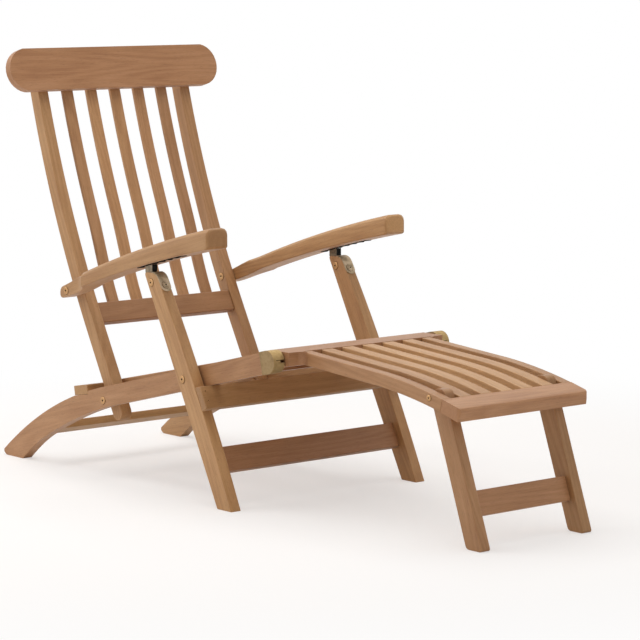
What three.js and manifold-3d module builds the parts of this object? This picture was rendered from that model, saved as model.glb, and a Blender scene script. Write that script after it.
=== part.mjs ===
// Steamer deck chair: a folding teak recliner with a slatted seat, a bent slatted
// back, two arms whose racks rest on the front legs, and a footrest with its own legs.
// Millimetres. +X points to the footrest, +Z up, and the chair is alike on both
// sides of the plane Y = 0. Left and right are those of the person who sits in it.
import * as THREE from "three";
import { mergeVertices } from "three/addons/utils/BufferGeometryUtils.js";
import Module from "manifold-3d";

const wasm = await Module();
wasm.setup();

// Sizes shared by many pieces
const fit = 0.3; // gap between pieces that are screwed, glued or riveted together
const running = 0.5; // gap beside a piece that turns or slides
const overrun = 12; // how far a cutter reaches past what it cuts
const slice = 0.01; // thinnest slice of a shape that is still worth a face
const degree = Math.PI / 180;

// Three of the pivots, along and up, before the chair is centred
const reclinePivot = { x: -469.4, z: 179.4 };
const armPivot = { x: -593.3, z: 422.7 };
const legPivot = { x: -122.1, z: 269.6 };

// Seat rails: straight, then bent down to the heel that stands on the floor
const rail = {
  inner: 221,
  thickness: 25.5,
  depth: 46,
  slope: 13.4 * degree,
  noseReach: 267,
  kneeReach: 328,
  bendRadius: 1226,
  swell: 3.2,
  tipAlong: 1075,
  heelAlong: 875,
  heelFront: -808,
  heelRear: -877,
  heelSag: { x: -750, z: 48 },
  tipSag: { x: -891, z: 5 },
};
const railOuter = rail.inner + rail.thickness;

// Brass caps on the front ends of the seat rails
const cap = { wall: 1.6, length: 21, slotHeight: 5, slotDepth: 9.5 };

// Cross pieces of the seat frame and its slats
const rearBoard = { width: 54, thickness: 22, x: -558.5, z: 193.6, tilt: 9.3 * degree };
const bearer = { width: 42, thickness: 20, middleX: -205, frontX: 83 };
const heelBar = { width: 40, thickness: 18, along: 878, lift: 1 };
const seatSlat = {
  count: 6,
  width: 48,
  gap: 16,
  thickness: 14,
  frontX: 104,
  topX: -480,
  topZ: 223,
  slope: 11.9 * degree,
  tenonLength: 12,
  tenonWidth: 36,
  tenonShoulder: 6,
};

// Back: two bent stiles, five bent slats, a headboard and a lower rail
const stile = {
  inner: 192,
  thickness: 28.4,
  depth: 36.4,
  topDepth: 32.5,
  advance: 2.3,
  lean: 28.5 * degree,
  straight: 195,
  bendRadius: 2480,
  foot: 34,
  length: 854,
};
const stileOuter = stile.inner + stile.thickness;
const headboard = { width: 600, height: 101.5, thickness: 20, along: 805.1 };
const lowerRail = {
  height: 50,
  thickness: 22,
  along: 183,
  setback: 3.5,
  tenonLength: 14,
  tenonShoulder: 6.2,
};
const backSlat = {
  count: 5,
  width: 29,
  pitch: 68.2,
  thickness: 10,
  hollow: 14,
  hollowTo: 450,
  tongue: 20,
};

// Arms: a knuckle outside the stile that widens in a cove into the arm rest.
// Places are given by reach, the distance in front of the arm's pivot.
const arm = {
  tailReach: -24,
  neckReach: 46,
  shoulderReach: 94,
  inwardReach: 153,
  noseReach: 571,
  knuckleInner: 221.5,
  knuckleOuter: 259,
  inner: 222.5,
  outer: 282,
  tailRadius: 9,
  noseRadius: 8,
  topRadius: 15,
  lowRadius: 4,
  knuckleEdge: 2.5,
};
const armTopRear = { reach: -24, z: 6.5, toReach: 65, toZ: 42.2, rise: -1.5 };
const armTopFront = { reach: 65, z: 42.2, toReach: 570, toZ: 183, rise: 9.5 };
const armLowRear = { reach: -24, z: -20.3, toReach: 110, toZ: 23.5, rise: -3.2 };
const armLowFront = { reach: 110, z: 23.5, toReach: 570, toZ: 137.5, rise: 7 };

// Notched rack let into the underside of each arm
const rack = {
  width: 18,
  thickness: 5.5,
  bed: 3.9,
  reach: 301.8,
  pitch: 26,
  count: 6,
  tooth: 5.2,
  notchDepth: 2.8,
};

// Front legs, the board that stops them under the rails, and their stretcher
const leg = {
  inner: 250.5,
  thickness: 27,
  heelX: -2,
  topX: -259.6,
  underArm: 14.5,
  width: 44.3,
  topWidth: 41,
  belly: 9,
  topRound: 17,
  rearRound: 10,
};
const legOuter = leg.inner + leg.thickness;
const legMiddle = leg.inner + leg.thickness / 2;
const stopBoard = { thickness: 18, along: 205.7, height: 82.3, clear: 0.6 };
const legBar = { thickness: 20, height: 56.7, along: 99.8, setback: 12 };

// Steel catch in the slot at the top of each leg, and the brass plate before it
const latch = {
  width: 14,
  behind: 3.4,
  length: 26,
  step: 14,
  rootDepth: 33.1,
  shoulderDepth: 1.1,
  pinDown: 31.5,
  pinForward: 13.4,
  clear: 0.6,
};
const plate = { thickness: 1.8, reach: 28 };

// Footrest: arched, with five slats tenoned between its rails
const foot = {
  crownX: 168,
  crownZ: 352.6,
  fall: 4.4 * degree,
  straight: 238,
  bendRadius: 1290,
  depth: 28,
  sideInner: 155.5,
  sideOuter: 179.5,
  rearX: 112,
  rearFrontX: 174,
  frontRearX: 614,
  frontX: 667,
  rearHalf: 217.5,
  cove: 16,
  corner: 12,
  edgeRadius: 10,
  tenonLength: 12,
  tenonShoulder: 4,
};
const footHinge = { behind: 40, drop: 11.07 };
const footSlat = { count: 5, width: 31, gap: 26, thickness: 15, tenonShoulder: 3.5 };
const footPin = { radius: 2.2, x: 145, z: 334, buried: 25, tip: 11.5 };

// Folding legs of the footrest
const footLeg = { inner: 130, thickness: 25, width: 44, head: 16, lean: 19.6 * degree, soleRound: 8 };
const footBar = { thickness: 18, height: 52, along: 225 };

// Rivets with flat round heads
const largeRivet = { radius: 4, head: 9.5, rise: 1.6, pit: 2.2, pitDepth: 1.2 };
const smallRivet = { radius: 2.5, head: 7, rise: 1.4, pit: 1.7, pitDepth: 1 };

// How finely curves are cut into flat faces
const fine = { bend: 16, round: 8, arm: 26, corner: 3, bar: 20 };

const teak = { color: 0xb08868, metalness: 0, roughness: 0.6 };
const shadedTeak = { color: 0x9a7050, metalness: 0, roughness: 0.65 };
const brass = { color: 0xa8966a, metalness: 0.9, roughness: 0.45 };
const steel = { color: 0x3c3b38, metalness: 0.8, roughness: 0.5 };

const sides = [
  { name: "left", sign: 1 },
  { name: "right", sign: -1 },
];

const chair = new THREE.Group();
chair.name = "steamer_deck_chair";

// Turns a closed three.js geometry into a solid that can be joined and cut.
function solid(geometry) {
  const plain = geometry.clone();
  plain.deleteAttribute("normal");
  plain.deleteAttribute("uv");
  const merged = mergeVertices(plain, slice / 100);
  const corners = [];
  for (let i = 0; i < merged.index.count; i += 3) {
    const a = merged.index.getX(i);
    const b = merged.index.getX(i + 1);
    const c = merged.index.getX(i + 2);
    if (a !== b && b !== c && c !== a) {
      corners.push(a, b, c);
    }
  }
  const mesh = new wasm.Mesh({
    numProp: 3,
    vertProperties: new Float32Array(merged.attributes.position.array),
    triVerts: new Uint32Array(corners),
  });
  return new wasm.Manifold(mesh);
}

// Turns a solid back into a three.js geometry.
function shapeOf(body) {
  const mesh = body.getMesh();
  const geometry = new THREE.BufferGeometry();
  geometry.setAttribute("position", new THREE.BufferAttribute(mesh.vertProperties, 3));
  geometry.setIndex(new THREE.BufferAttribute(mesh.triVerts, 1));
  geometry.computeVertexNormals();
  return geometry;
}

function extrusion(points, length) {
  return new THREE.ExtrudeGeometry(new THREE.Shape(points), { depth: length, bevelEnabled: false });
}

// Extrudes an outline drawn in X and Z across the chair, from one Y to another.
function across(points, fromY, toY) {
  const geometry = extrusion(points, toY - fromY);
  geometry.rotateX(Math.PI / 2);
  geometry.translate(0, toY, 0);
  return solid(geometry);
}

// Extrudes an outline drawn in X and Y upwards, from one height to another.
function upright(points, lowZ, highZ) {
  const geometry = extrusion(points, highZ - lowZ);
  geometry.translate(0, 0, lowZ);
  return solid(geometry);
}

function block(fromX, toX, fromY, toY, fromZ, toZ) {
  const geometry = new THREE.BoxGeometry(toX - fromX, toY - fromY, toZ - fromZ);
  geometry.translate((fromX + toX) / 2, (fromY + toY) / 2, (fromZ + toZ) / 2);
  return solid(geometry);
}

// A round bar across the chair, such as a hole or a shank.
function roundBar(place, radius, fromY, toY) {
  const geometry = new THREE.CylinderGeometry(radius, radius, toY - fromY, fine.bar);
  geometry.translate(place.x, (fromY + toY) / 2, place.z);
  return solid(geometry);
}

// A board across the chair with its width tilted up towards the front.
function tiltedBoard(place, tilt, width, thickness, halfLength) {
  const geometry = new THREE.BoxGeometry(width, 2 * halfLength, thickness);
  geometry.rotateY(-tilt);
  geometry.translate(place.x, 0, place.z);
  return solid(geometry);
}

function point(x, z) {
  return new THREE.Vector2(x, z);
}

function curve(from, control, to, count) {
  return new THREE.QuadraticBezierCurve(from, control, to).getPoints(count);
}

// A path that runs straight and then bends: position by length along it and by
// distance to its left. turn is 1 where it bends to the left and -1 to the right.
function bentPath(start, heading, straight, radius, turn) {
  const side = heading + Math.PI / 2;
  return (along, left) => {
    const bent = Math.max(0, along - straight);
    const run = along - bent;
    const angle = (turn * bent) / radius;
    const centreX = start.x + run * Math.cos(heading) + turn * radius * Math.cos(side);
    const centreZ = start.z + run * Math.sin(heading) + turn * radius * Math.sin(side);
    const reach = turn * radius - left;
    return point(centreX - reach * Math.cos(side + angle), centreZ - reach * Math.sin(side + angle));
  };
}

// One edge of a board that follows a path.
function edge(path, from, to, left, count) {
  const points = [];
  for (let i = 0; i <= count; i += 1) {
    points.push(path(from + ((to - from) * i) / count, left));
  }
  return points;
}

// The outline of a board that follows a path between two lengths and two sides.
function band(path, from, to, low, high, count) {
  return [...edge(path, from, to, low, count), ...edge(path, to, from, high, count)];
}

// A half circle that closes a band; facing is 1 past its far end and -1 before it.
function roundEnd(path, along, radius, facing) {
  const points = [];
  for (let i = 1; i < 2 * fine.round; i += 1) {
    const angle = (Math.PI * i) / (2 * fine.round);
    points.push(path(along + facing * radius * Math.sin(angle), -facing * radius * Math.cos(angle)));
  }
  return points;
}

// An outline between two offsets from a line of points, on the line's left.
function offsetBand(points, near, far) {
  const shifted = (distance) =>
    points.map((here, i) => {
      const before = points[Math.max(0, i - 1)];
      const after = points[Math.min(points.length - 1, i + 1)];
      const along = after.clone().sub(before).normalize();
      return point(here.x - along.y * distance, here.y + along.x * distance);
    });
  return [...shifted(near), ...shifted(far).reverse()];
}

// Mirrors a solid made for the left side when the right one is wanted.
function onSide(body, side) {
  return side.sign > 0 ? body : body.mirror([0, 1, 0]);
}

function addPiece(parent, name, body, finish) {
  const mesh = new THREE.Mesh(shapeOf(body), new THREE.MeshStandardMaterial(finish));
  mesh.name = name;
  parent.add(mesh);
}

function addPair(parent, name, body, finish) {
  for (const side of sides) {
    addPiece(parent, `${name}_${side.name}`, onSide(body, side), finish);
  }
}

function addSubassembly(name) {
  const group = new THREE.Group();
  group.name = name;
  chair.add(group);
  return group;
}

function rivetHole(place, rivet, fromY, toY) {
  return roundBar(place, rivet.radius + fit, fromY - overrun, toY + overrun);
}

// A rivet from one face to another, with a pitted head outside each open face.
function rivetSolid(place, rivet, fromY, toY, blindStart) {
  const low = blindStart ? fromY + running : fromY - fit;
  const high = toY + fit;
  const half = [
    point(rivet.radius, high),
    point(rivet.head, high),
    point(rivet.head, high + rivet.rise / 2),
    point(rivet.head - rivet.rise / 2, high + rivet.rise),
    point(rivet.pit, high + rivet.rise),
    point(rivet.pit, high + rivet.rise - rivet.pitDepth),
    point(0, high + rivet.rise - rivet.pitDepth),
  ];
  const start = blindStart
    ? [point(0, low), point(rivet.radius, low)]
    : half.map((here) => point(here.x, low + high - here.y)).reverse();
  const geometry = new THREE.LatheGeometry([...start, ...half], fine.bar);
  geometry.translate(place.x, 0, place.z);
  return solid(geometry);
}

// The path of the seat rails: from the middle of the round nose back to the heel
const railNose = {
  x: legPivot.x + rail.noseReach * Math.cos(rail.slope),
  z: legPivot.z + rail.noseReach * Math.sin(rail.slope),
};
const railPath = bentPath(
  railNose,
  Math.PI + rail.slope,
  rail.noseReach + rail.kneeReach,
  rail.bendRadius,
  1,
);

// Half the depth of a rail, which swells a little in its bend
function railHalf(along) {
  const knee = rail.noseReach + rail.kneeReach;
  const share = THREE.MathUtils.clamp((along - knee) / (rail.tipAlong - knee), 0, 1);
  return rail.depth / 2 + rail.swell * Math.sin(Math.PI * share);
}

// One edge of the bent part of a rail, on one side of its path
function railBend(from, to, side) {
  const points = [];
  for (let i = 0; i <= fine.bend; i += 1) {
    const along = from + ((to - from) * i) / fine.bend;
    points.push(railPath(along, side * railHalf(along)));
  }
  return points;
}

function railOutline() {
  const half = rail.depth / 2;
  const knee = rail.noseReach + rail.kneeReach;
  const tip = railPath(rail.tipAlong, -half);
  const heel = railPath(rail.heelAlong, railHalf(rail.heelAlong));
  const rear = point(rail.heelRear, 0);
  const front = point(rail.heelFront, 0);
  return [
    ...edge(railPath, 0, knee, -half, 1),
    ...railBend(knee, rail.tipAlong, -1).slice(1, -1),
    ...curve(tip, point(rail.tipSag.x, rail.tipSag.z), rear, fine.corner),
    ...curve(front, point(rail.heelSag.x, rail.heelSag.z), heel, fine.round),
    ...railBend(rail.heelAlong, knee, 1).slice(1),
    railPath(0, half),
    ...roundEnd(railPath, 0, half, -1),
  ];
}

// The slot in the nose of each rail and its cap that takes the footrest's pin
function pinSlot() {
  const radius = cap.slotHeight / 2;
  const mouth = railNose.x + rail.depth;
  const outline = [point(mouth, footPin.z - radius), point(mouth, footPin.z + radius)];
  for (let i = 0; i <= fine.round; i += 1) {
    const angle = Math.PI / 2 + (Math.PI * i) / fine.round;
    outline.push(point(footPin.x + radius * Math.cos(angle), footPin.z + radius * Math.sin(angle)));
  }
  return across(outline, rail.inner - overrun, rail.inner + cap.slotDepth);
}

function grownRearBoard() {
  const width = rearBoard.width + 2 * fit;
  const thickness = rearBoard.thickness + 2 * fit;
  return tiltedBoard(rearBoard, rearBoard.tilt, width, thickness, railOuter + overrun);
}

function railSolid() {
  return across(railOutline(), rail.inner, railOuter)
    .subtract(grownRearBoard())
    .subtract(rivetHole(reclinePivot, largeRivet, rail.inner, railOuter))
    .subtract(rivetHole(legPivot, largeRivet, rail.inner, railOuter))
    .subtract(pinSlot());
}

// A shape around the nose of the rail, grown by a gap on every side
function noseShape(gap, back) {
  const half = rail.depth / 2 + gap;
  const outline = [...band(railPath, 0, back, -half, half, 1), ...roundEnd(railPath, 0, half, -1)];
  return across(outline, rail.inner - gap, railOuter + gap);
}

function capSolid() {
  return noseShape(fit + cap.wall, cap.length)
    .subtract(noseShape(fit, cap.length + overrun))
    .subtract(pinSlot());
}

// Height of the top face of the seat slats at a place along the chair, or lower
function seatTop(x, below) {
  return seatSlat.topZ + (x - seatSlat.topX) * Math.tan(seatSlat.slope) - below / Math.cos(seatSlat.slope);
}

// Where a line in the seat slats, some way below their top, meets the rear board
function slatEndX(below, gap) {
  const face = rearBoard.width / 2 + gap;
  const faceX = rearBoard.x + face * Math.cos(rearBoard.tilt);
  const faceZ = rearBoard.z + face * Math.sin(rearBoard.tilt);
  const climb = Math.tan(seatSlat.slope);
  const tilt = Math.tan(rearBoard.tilt);
  const rise = seatTop(0, below) - faceZ;
  return (faceX - rise * tilt) / (1 + climb * tilt);
}

// A slat with square shoulders, from one line below its top to another
function slatOutline(gap, toX, top, bottom) {
  const toBottomX = toX + (bottom - top) * Math.sin(seatSlat.slope);
  return [
    point(slatEndX(bottom, gap), seatTop(slatEndX(bottom, gap), bottom)),
    point(toBottomX, seatTop(toBottomX, bottom)),
    point(toX, seatTop(toX, top)),
    point(slatEndX(top, gap), seatTop(slatEndX(top, gap), top)),
  ];
}

function slatTenon(middle, gap) {
  return across(
    slatOutline(
      -seatSlat.tenonLength - gap,
      seatSlat.topX,
      seatSlat.tenonShoulder - gap,
      seatSlat.thickness + gap,
    ),
    middle - seatSlat.tenonWidth / 2 - gap,
    middle + seatSlat.tenonWidth / 2 + gap,
  );
}

function slatMiddle(slat, index) {
  return (index - (slat.count - 1) / 2) * (slat.width + slat.gap);
}

function rearBoardSolid() {
  let board = tiltedBoard(rearBoard, rearBoard.tilt, rearBoard.width, rearBoard.thickness, railOuter);
  for (let i = 0; i < seatSlat.count; i += 1) {
    board = board.subtract(slatTenon(slatMiddle(seatSlat, i), fit));
  }
  return board;
}

function seatSlatSolid(middle) {
  const outline = slatOutline(fit, seatSlat.frontX, 0, seatSlat.thickness);
  return across(outline, middle - seatSlat.width / 2, middle + seatSlat.width / 2).add(slatTenon(middle, 0));
}

function bearerSolid(middleX) {
  const lowered = seatSlat.thickness + fit + bearer.thickness / 2;
  const place = { x: middleX, z: seatTop(middleX, lowered) };
  return tiltedBoard(place, seatSlat.slope, bearer.width, bearer.thickness, rail.inner - fit);
}

function heelBarSolid() {
  const low = rail.depth / 2 - heelBar.lift;
  const outline = band(
    railPath,
    heelBar.along - heelBar.width / 2,
    heelBar.along + heelBar.width / 2,
    low - heelBar.thickness,
    low,
    1,
  );
  return across(outline, -rail.inner + fit, rail.inner - fit);
}

function buildSeatFrame() {
  const group = addSubassembly("seat_frame");
  addPair(group, "seat_rail", railSolid(), teak);
  addPair(group, "rail_cap", capSolid(), brass);
  addPiece(group, "seat_rear_board", rearBoardSolid(), teak);
  addPiece(group, "seat_middle_bearer", bearerSolid(bearer.middleX), shadedTeak);
  addPiece(group, "seat_front_bearer", bearerSolid(bearer.frontX), shadedTeak);
  addPiece(group, "heel_bar", heelBarSolid(), shadedTeak);
  for (let i = 0; i < seatSlat.count; i += 1) {
    addPiece(group, `seat_slat_${i + 1}`, seatSlatSolid(slatMiddle(seatSlat, i)), teak);
  }
}

// The path of the back: it starts beside the recline pivot and bends forward
const stilePath = bentPath(
  {
    x: reclinePivot.x + stile.advance * Math.cos(stile.lean),
    z: reclinePivot.z + stile.advance * Math.sin(stile.lean),
  },
  Math.PI / 2 + stile.lean,
  stile.straight,
  stile.bendRadius,
  -1,
);
const stileFront = -stile.depth / 2;

function lowerRailTenon(gap) {
  const front = stileFront + lowerRail.setback + lowerRail.tenonShoulder - gap;
  const rear = stileFront + lowerRail.setback + lowerRail.thickness - lowerRail.tenonShoulder + gap;
  const outline = band(
    stilePath,
    lowerRail.along + lowerRail.tenonShoulder - gap,
    lowerRail.along + lowerRail.height - lowerRail.tenonShoulder + gap,
    front,
    rear,
    2,
  );
  const reach = stile.inner + lowerRail.tenonLength + gap;
  return across(outline, -reach, reach);
}

// The stile's rear edge draws in towards its top.
function stileRear() {
  const points = [];
  for (let i = 0; i <= fine.bend; i += 1) {
    const along = stile.length + ((stile.straight - stile.length) * i) / fine.bend;
    const left = stile.topDepth + ((stile.depth - stile.topDepth) * i) / fine.bend;
    points.push(stilePath(along, stileFront + left));
  }
  return points;
}

function stileSolid() {
  const half = stile.depth / 2;
  const outline = [
    ...edge(stilePath, -stile.foot, stile.straight, stileFront, 1),
    ...edge(stilePath, stile.straight, stile.length, stileFront, fine.bend).slice(1),
    ...stileRear(),
    stilePath(-stile.foot, half),
    ...roundEnd(stilePath, -stile.foot, half, -1),
  ];
  return across(outline, stile.inner, stileOuter)
    .subtract(rivetHole(reclinePivot, largeRivet, stile.inner, stileOuter))
    .subtract(rivetHole(armPivot, largeRivet, stile.inner, stileOuter))
    .subtract(lowerRailTenon(fit));
}

// The headboard follows the bend of the stiles and has round ends seen from the front
function headboardSolid() {
  const half = headboard.height / 2;
  const low = headboard.along - half;
  const high = headboard.along + half;
  const rear = stileFront - fit;
  const slab = across(
    band(stilePath, low, high, rear - headboard.thickness, rear, fine.round),
    -headboard.width / 2,
    headboard.width / 2,
  );
  const lean = stile.lean - (headboard.along - stile.straight) / stile.bendRadius;
  const outline = [];
  for (const end of [1, -1]) {
    for (let i = 0; i <= 2 * fine.round; i += 1) {
      const angle = (Math.PI * i) / (2 * fine.round) - (end * Math.PI) / 2;
      const middle = end * (headboard.width / 2 - half);
      outline.push(point(middle + half * Math.cos(angle), half * Math.sin(angle)));
    }
  }
  const cutter = extrusion(outline, 2 * headboard.height);
  cutter.translate(0, 0, -headboard.height);
  cutter.applyMatrix4(
    new THREE.Matrix4().makeBasis(
      new THREE.Vector3(0, 1, 0),
      new THREE.Vector3(-Math.sin(lean), 0, Math.cos(lean)),
      new THREE.Vector3(Math.cos(lean), 0, Math.sin(lean)),
    ),
  );
  const centre = stilePath(headboard.along, stileFront);
  cutter.translate(centre.x, 0, centre.y);
  return slab.intersect(solid(cutter));
}

function lowerRailSolid() {
  const front = stileFront + lowerRail.setback;
  const outline = band(
    stilePath,
    lowerRail.along,
    lowerRail.along + lowerRail.height,
    front,
    front + lowerRail.thickness,
    fine.corner,
  );
  return across(outline, -stile.inner + fit, stile.inner - fit).add(lowerRailTenon(0));
}

// One face of a back slat: it starts on the lower rail, behind the fronts of the
// stiles, and is bent forward to lie level with them.
function backSlatFace(depth) {
  const from = lowerRail.along + lowerRail.height + fit;
  const to = headboard.along + headboard.height / 2 - backSlat.tongue;
  const points = [];
  for (let i = 0; i <= fine.bend; i += 1) {
    const along = from + ((to - from) * i) / fine.bend;
    const behind = swing(along, from, backSlat.hollowTo, backSlat.hollow, 0);
    points.push(stilePath(along, stileFront + behind + depth));
  }
  return points;
}

function backSlatSolid(middle) {
  const outline = [...backSlatFace(0), ...backSlatFace(backSlat.thickness).reverse()];
  return across(outline, middle - backSlat.width / 2, middle + backSlat.width / 2);
}

function buildBack() {
  const group = addSubassembly("back");
  addPair(group, "back_stile", stileSolid(), teak);
  addPiece(group, "headboard", headboardSolid(), teak);
  addPiece(group, "back_lower_rail", lowerRailSolid(), shadedTeak);
  for (let i = 0; i < backSlat.count; i += 1) {
    const middle = (i - (backSlat.count - 1) / 2) * backSlat.pitch;
    addPiece(group, `back_slat_${i + 1}`, backSlatSolid(middle), teak);
  }
}

// Height of an arched line at a reach; rise is how far its middle stands above the chord
function arch(line, reach) {
  const share = (reach - line.reach) / (line.toReach - line.reach);
  return line.z + share * (line.toZ - line.z) + 4 * line.rise * share * (1 - share);
}

function armTop(reach) {
  return armPivot.z + arch(reach < armTopFront.reach ? armTopRear : armTopFront, reach);
}

function armLow(reach) {
  return armPivot.z + arch(reach < armLowFront.reach ? armLowRear : armLowFront, reach);
}

// A value that swings smoothly from one level to another between two places
function swing(reach, fromReach, toReach, from, to) {
  const share = THREE.MathUtils.smoothstep(reach, fromReach, toReach);
  return from + (to - from) * share;
}

// A value that leaves one level at once and settles on another, as a cove does
function cove(reach, fromReach, toReach, from, to) {
  const share = THREE.MathUtils.clamp((reach - fromReach) / (toReach - fromReach), 0, 1);
  return from + (to - from) * share * share;
}

// How far a rounded end is drawn in at a distance from its tip
function drawnIn(distance, radius) {
  const left = Math.max(0, radius - distance);
  return radius - Math.sqrt(radius * radius - left * left);
}

// One ring of the arm: a box with rounded corners across the chair at a reach
function armRing(reach) {
  const tail = drawnIn(reach - arm.tailReach, arm.tailRadius);
  const nose = drawnIn(arm.noseReach - reach, arm.noseRadius);
  const lowY = swing(reach, arm.neckReach, arm.inwardReach, arm.knuckleInner, arm.inner) + nose;
  const highY = cove(reach, arm.neckReach, arm.shoulderReach, arm.knuckleOuter, arm.outer) - nose;
  const lowZ = armLow(reach) + tail + nose;
  const highZ = armTop(reach) - tail - nose;
  const topRadius = swing(reach, arm.neckReach, arm.shoulderReach, arm.knuckleEdge, arm.topRadius);
  const lowRadius = swing(reach, arm.neckReach, arm.shoulderReach, arm.knuckleEdge, arm.lowRadius);
  const corners = [
    { y: highY - topRadius, z: highZ - topRadius, radius: topRadius, turn: 0 },
    { y: lowY + topRadius, z: highZ - topRadius, radius: topRadius, turn: 1 },
    { y: lowY + lowRadius, z: lowZ + lowRadius, radius: lowRadius, turn: 2 },
    { y: highY - lowRadius, z: lowZ + lowRadius, radius: lowRadius, turn: 3 },
  ];
  const ring = [];
  for (const corner of corners) {
    for (let i = 0; i <= fine.corner; i += 1) {
      const angle = ((corner.turn + i / fine.corner) * Math.PI) / 2;
      const y = corner.y + corner.radius * Math.cos(angle);
      ring.push(new THREE.Vector3(armPivot.x + reach, y, corner.z + corner.radius * Math.sin(angle)));
    }
  }
  return ring;
}

// A closed skin over rings that are ordered along X
function loft(rings) {
  const size = rings[0].length;
  const corners = [];
  for (let i = 0; i + 1 < rings.length; i += 1) {
    for (let j = 0; j < size; j += 1) {
      const next = (j + 1) % size;
      corners.push(rings[i][j], rings[i][next], rings[i + 1][j]);
      corners.push(rings[i][next], rings[i + 1][next], rings[i + 1][j]);
    }
  }
  const last = rings[rings.length - 1];
  for (let j = 1; j + 1 < size; j += 1) {
    corners.push(rings[0][0], rings[0][j + 1], rings[0][j]);
    corners.push(last[0], last[j], last[j + 1]);
  }
  return solid(new THREE.BufferGeometry().setFromPoints(corners));
}

function armReaches() {
  const reaches = [];
  for (let i = 0; i <= fine.corner; i += 1) {
    reaches.push(arm.tailReach + arm.tailRadius * (1 - Math.cos((Math.PI * i) / 2 / fine.corner)));
  }
  const start = arm.tailReach + arm.tailRadius;
  const knees = [arm.neckReach, armTopFront.reach, arm.shoulderReach, armLowFront.reach, arm.inwardReach];
  const end = arm.noseReach - arm.noseRadius;
  const stops = [start, ...knees, end];
  const pitch = (end - start) / fine.arm;
  for (let i = 0; i + 1 < stops.length; i += 1) {
    const count = Math.ceil((stops[i + 1] - stops[i]) / pitch);
    for (let j = 1; j <= count; j += 1) {
      reaches.push(stops[i] + ((stops[i + 1] - stops[i]) * j) / count);
    }
  }
  for (let i = 1; i <= fine.corner; i += 1) {
    reaches.push(arm.noseReach - arm.noseRadius * (1 - Math.sin((Math.PI * i) / 2 / fine.corner)));
  }
  return reaches;
}

// An outline under the arm, between two distances below its underside
function underArm(from, to, near, far, count) {
  const points = [];
  for (let i = 0; i <= count; i += 1) {
    const reach = from + ((to - from) * i) / count;
    points.push(point(armPivot.x + reach, armLow(reach) - far));
  }
  for (let i = count; i >= 0; i -= 1) {
    const reach = from + ((to - from) * i) / count;
    points.push(point(armPivot.x + reach, armLow(reach) - near));
  }
  return points;
}

const rackLength = rack.count * rack.pitch + rack.tooth;
const rackProud = rack.thickness - rack.bed;

function rackBar(gap, near, far) {
  return across(
    underArm(rack.reach - gap, rack.reach + rackLength + gap, near, far, rack.count),
    legMiddle - rack.width / 2 - gap,
    legMiddle + rack.width / 2 + gap,
  );
}

// Each notch is open below, with a tooth left at both of its ends
function rackSolid() {
  let body = rackBar(0, -rack.bed, rackProud);
  for (let i = 0; i < rack.count; i += 1) {
    const from = rack.reach + rack.tooth + i * rack.pitch;
    const to = from + rack.pitch - rack.tooth;
    const notch = underArm(from, to, rackProud - rack.notchDepth, overrun, 1);
    body = body.subtract(across(notch, legMiddle - rack.width, legMiddle + rack.width));
  }
  return body;
}

function armSolid() {
  return loft(armReaches().map(armRing))
    .subtract(rivetHole(armPivot, largeRivet, arm.knuckleInner, arm.knuckleOuter))
    .subtract(rackBar(fit, -rack.bed - fit, overrun));
}

function buildArms() {
  const group = addSubassembly("arms");
  addPair(group, "arm", armSolid(), teak);
  addPair(group, "arm_rack", rackSolid(), steel);
}

// The legs reach from the floor to a little below the arms
const legTopZ = armLow(leg.topX - armPivot.x) - leg.underArm;
const legLean = Math.atan2(leg.heelX - leg.topX, legTopZ);
const legLength = Math.hypot(leg.heelX - leg.topX, legTopZ);
const legClimb = Math.tan(legLean);

// Place on a front leg: along its rear face from the floor, and forward from it
function onLeg(along, forward) {
  return point(
    leg.heelX - along * Math.sin(legLean) + forward * Math.cos(legLean),
    along * Math.cos(legLean) + forward * Math.sin(legLean),
  );
}

const catchPlace = onLeg(legLength - latch.pinDown, latch.pinForward);
const catchPivot = { x: catchPlace.x, z: catchPlace.y };

// Front face of the leg: a shallow belly from the floor to the rounded top
function legFront() {
  const top = legLength - leg.topWidth * legClimb;
  const face = curve(
    onLeg(-leg.width * legClimb, leg.width),
    onLeg(top / 2, (leg.width + leg.topWidth) / 2 + 2 * leg.belly),
    onLeg(top - leg.topRound, leg.topWidth),
    fine.bend,
  );
  const crown = curve(
    onLeg(top - leg.topRound, leg.topWidth),
    onLeg(top, leg.topWidth),
    point(onLeg(top, leg.topWidth).x - leg.topRound, onLeg(top, leg.topWidth).y),
    fine.round,
  );
  return { face, crown };
}

function legOutline() {
  const front = legFront();
  const corner = onLeg(legLength, 0);
  const rear = onLeg(legLength - leg.rearRound, 0);
  return [
    onLeg(0, 0),
    ...front.face,
    ...front.crown.slice(1),
    ...curve(point(corner.x + leg.rearRound, corner.y), corner, rear, fine.corner),
  ];
}

const catchRearX = leg.topX - latch.behind;
const catchFrontX = catchRearX + latch.length;
const catchRootX = catchFrontX + latch.step;
const catchRootZ = legTopZ - latch.rootDepth;
const catchShoulderZ = legTopZ - latch.shoulderDepth;

function legSolid() {
  const slot = block(
    catchRearX - leg.width,
    catchRootX + fit,
    legMiddle - latch.width / 2 - fit,
    legMiddle + latch.width / 2 + fit,
    catchRootZ - fit,
    catchRootZ + leg.width * 2,
  );
  return across(legOutline(), leg.inner, legOuter)
    .subtract(slot)
    .subtract(rivetHole(legPivot, largeRivet, leg.inner, legOuter))
    .subtract(rivetHole(catchPivot, largeRivet, leg.inner, legOuter))
    .subtract(legBarTenon(fit));
}

// The catch stands in its slot, and its sloping top carries the teeth of the rack
function catchOutline() {
  const top = (x) => point(x, armLow(x - armPivot.x) - rackProud - latch.clear);
  return [
    point(leg.heelX - catchRootZ * legClimb, catchRootZ),
    point(catchRootX, catchRootZ),
    point(catchRootX, catchShoulderZ),
    point(catchFrontX, catchShoulderZ),
    top(catchFrontX),
    top(catchRearX),
    point(catchRearX, catchShoulderZ),
  ];
}

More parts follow.
